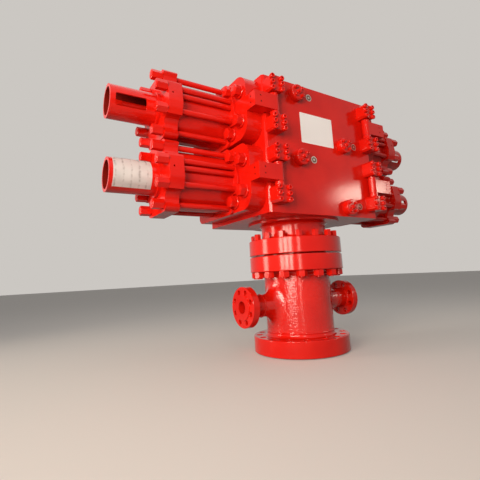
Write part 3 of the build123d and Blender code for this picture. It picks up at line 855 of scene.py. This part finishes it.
def weld_seams():
    """Beads where the spool's barrel meets its flanges and where its necks meet the outlets."""
    low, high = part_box("drilling_spool")
    outlet_z = sum(c.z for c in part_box("left_outlet")) / 2
    hub = (UP, SPOOL_BARREL_R, HUB_BEAD_R, HUB_RIPPLES)
    neck = (ALONG_X, SPOOL_NECK_R, NECK_BEAD_R, NECK_RIPPLES)
    for name, centre, (facing, radius, bead, ripples) in (
        ("lower_hub_weld", (0, 0, low.z), hub),
        ("upper_hub_weld", (0, 0, high.z), hub),
        ("left_neck_weld", (low.x, 0, outlet_z), neck),
        ("right_neck_weld", (high.x, 0, outlet_z), neck),
    ):
        values = {
            "Centre": centre,
            "Facing": facing,
            "Circle Radius": radius,
            "Bead Radius": bead,
            "Ripples": ripples,
            "Points": ripples * RIPPLE_POINTS,
            "Ripple Depth": RIPPLE_DEPTH,
            "Finish": forged_enamel,
        }
        finished(grown(name, welds, values), ROOT)


def front_label():
    """The bare label on the body's front face: a thin plate with rounded corners."""
    (x0, z0), (x1, z1) = LABEL_LOW, LABEL_HIGH
    outline = []
    for centre_x, centre_z, start in (
        (x1 - LABEL_CORNER, z1 - LABEL_CORNER, 0),
        (x0 + LABEL_CORNER, z1 - LABEL_CORNER, 90),
        (x0 + LABEL_CORNER, z0 + LABEL_CORNER, 180),
        (x1 - LABEL_CORNER, z0 + LABEL_CORNER, 270),
    ):
        for step in range(0, 91, LABEL_CORNER_STEP):
            turn = math.radians(start + step)
            outline.append((centre_x + LABEL_CORNER * math.cos(turn), centre_z + LABEL_CORNER * math.sin(turn)))
    count = len(outline)
    vertices = [(x, y, z) for y in (body_front_y, body_front_y - LABEL_T) for x, z in outline]
    faces = [tuple(reversed(range(count))), tuple(range(count, 2 * count))]
    faces += [(i, (i + 1) % count, (i + 1) % count + count, i + count) for i in range(count)]
    mesh = bpy.data.meshes.new("front_label")
    mesh.from_pydata(vertices, [], faces)
    shape = bmesh.new()
    shape.from_mesh(mesh)
    bmesh.ops.recalc_face_normals(shape, faces=shape.faces)
    shape.to_mesh(mesh)
    shape.free()
    mesh.materials.append(vinyl)
    piece = bpy.data.objects.new("front_label", mesh)
    scene.collection.objects.link(piece)
    finished(piece, ROOT)


def paper_wrap():
    """The sheet round the lower left tube, with its lower edge lifted off the paint.

    Two slanting waves make it baggy: one is 157 mm long by a seventh of a turn, the other 114 mm by half a turn.
    """
    shape = bmesh.new()
    grid = []
    for i in range(WRAP_COLUMNS + 1):
        x = WRAP_X[0] + (WRAP_X[1] - WRAP_X[0]) * i / WRAP_COLUMNS
        line = []
        for j in range(WRAP_ROWS + 1):
            turn = math.radians(WRAP_TURNS[0] + (WRAP_TURNS[1] - WRAP_TURNS[0]) * j / WRAP_ROWS)
            bag = WRAP_BAGGINESS * math.sin(7 * turn + 40 * x) * math.sin(55 * x + 2 * turn)
            lift = WRAP_LIFT * max(0.0, 1 - j / WRAP_LIFT_ROWS) ** 2
            radius = LOCK_TUBE_R + WRAP_GAP + bag + lift
            line.append(shape.verts.new((x, -radius * math.cos(turn), RAM_Z["lower"] + radius * math.sin(turn))))
        grid.append(line)
    for i in range(WRAP_COLUMNS):
        for j in range(WRAP_ROWS):
            shape.faces.new((grid[i][j], grid[i][j + 1], grid[i + 1][j + 1], grid[i + 1][j]))
    bmesh.ops.solidify(shape, geom=shape.faces, thickness=WRAP_T)
    bmesh.ops.recalc_face_normals(shape, faces=shape.faces)
    mesh = bpy.data.meshes.new("paper_wrap")
    shape.to_mesh(mesh)
    shape.free()
    mesh.materials.append(paper)
    piece = bpy.data.objects.new("paper_wrap", mesh)
    scene.collection.objects.link(piece)
    finished(piece, "lower_left_door_assembly")


for node in frame["nodes"]:
    if not node.endswith("tie_rods"):
        finish = forged_enamel if node == "drilling_spool" else FINISHES[slot_of(node)]
        dressed(node, finish, EDGES.get(node, EDGE))
flange_studs()
cover_screws()
cover_plugs()
plug_collars()
bracket_screws()
for place, side, ram_z in DOORS:
    door_bolts(place, side, ram_z)
    arm_hole_shade_screws(place, side, ram_z)
    tie_rods(place, side, ram_z)
    paint_bore_shade(place, ram_z)
weld_seams()
front_label()
paper_wrap()


# Light, background and floor

FLOOR_HALF = 30.0
WARM_WHITE = "#FFEFDC"
NARROW_SPREAD = 100
PANES = (-1, 0, 1)
PANE_STEP = 0.88
PANE_SIZE = (0.6, 2.0)
PANE_POWER = 80 / len(PANES)
PANES_TARGET = Vector((0.0, 0.0, 1.1))
PANES_OUT = Vector((-0.874, -0.486, 0.09))
PANES_ALONG = Vector((0.486, -0.874, 0.0))
PANES_DISTANCE = 4.5


def area_lamp(name, place, target, size, power, colour="#FFFFFF", spread=180):
    data = bpy.data.lights.new(name, "AREA")
    data.shape = "RECTANGLE"
    data.size, data.size_y = size
    data.spread = math.radians(spread)
    data.energy = power
    data.color = linear(colour)[:3]
    lamp = bpy.data.objects.new(name, data)
    lamp.location = place
    lamp.rotation_euler = (Vector(target) - Vector(place)).to_track_quat("-Z", "Y").to_euler()
    scene.collection.objects.link(lamp)


def warm_panel(name, place, target, size, power):
    """A panel of warm white light with a narrower throw than a bare lamp."""
    area_lamp(name, place, target, size, power, WARM_WHITE, NARROW_SPREAD)


def sees_background(tree):
    """1 for the rays that show the background: the camera's, and those off gloss or through glass."""
    rays = add_node(tree, "ShaderNodeLightPath").outputs
    either = rays["Is Camera Ray"]
    for kind in ("Is Glossy Ray", "Is Transmission Ray"):
        either = add_node(tree, "ShaderNodeMath", {"operation": "MAXIMUM"}, {0: either, 1: rays[kind]}).outputs[0]
    return either


def make_world():
    """A pale wall to look at, and a dim room to be lit by."""
    world = bpy.data.worlds.new("pale_room")
    scene.world = world
    world.use_nodes = True
    tree = world.node_tree
    lighting = add_node(tree, "ShaderNodeBackground", {"Color": linear("#E6E0DA"), "Strength": 0.14})
    seen = add_node(tree, "ShaderNodeBackground", {"Color": linear("#CBC7C2"), "Strength": 1.0})
    both = add_node(
        tree,
        "ShaderNodeMixShader",
        links={"Fac": sees_background(tree), 1: lighting.outputs["Background"], 2: seen.outputs["Background"]},
    )
    tree.links.new(both.outputs["Shader"], tree.nodes["World Output"].inputs["Surface"])


def make_floor():
    """A matt painted floor, pale to look at and darker in what it throws back on the object."""
    corners = [(x * FLOOR_HALF, y * FLOOR_HALF, 0) for x, y in ((-1, -1), (1, -1), (1, 1), (-1, 1))]
    mesh = bpy.data.meshes.new("floor")
    mesh.from_pydata(corners, [], [(0, 1, 2, 3)])
    floor = bpy.data.objects.new("floor", mesh)
    scene.collection.objects.link(floor)
    material, tree, shader = new_material(
        "pale_floor_paint", {"Emission Color": linear("#5C5A58"), "Roughness": 0.7, "Specular IOR Level": 0.2}
    )
    seen = sees_background(tree)
    colour = add_node(
        tree,
        "ShaderNodeMix",
        {"data_type": "RGBA", MIX_A: linear("#77716C"), MIX_B: linear("#C9C5C1")},
        {"Factor": seen},
    )
    tree.links.new(colour.outputs[MIX_RESULT], shader.inputs["Base Color"])
    tree.links.new(seen, shader.inputs["Emission Strength"])
    mesh.materials.append(material)


scene.view_settings.view_transform = "Standard"
make_camera()
make_world()
make_floor()
for pane in PANES:
    pane_place = PANES_TARGET + PANES_OUT * PANES_DISTANCE + PANES_ALONG * pane * PANE_STEP
    warm_panel("window_pane", pane_place, pane_place - PANES_OUT, PANE_SIZE, PANE_POWER)
warm_panel("door_gap", (-4.1, 1.9, 1.3), (0, 0, 1.1), size=(1.0, 1.9), power=22)
warm_panel("far_window", (-2.3, -3.9, 1.05), (0, 0, 1.05), size=(0.35, 1.4), power=6)
warm_panel("high_window", (-2.3, -3.9, 2.7), (0, 0, 1.4), size=(0.3, 1.7), power=9)
area_lamp("right_window", (3.1, -2.6, 1.82), (0.3, 0, 1.1), size=(0.7, 0.26), power=10, colour=WARM_WHITE)
area_lamp("ceiling_panel", (-0.5, -0.5, 5.2), (0, 0, 1.2), size=(6.0, 6.0), power=66)
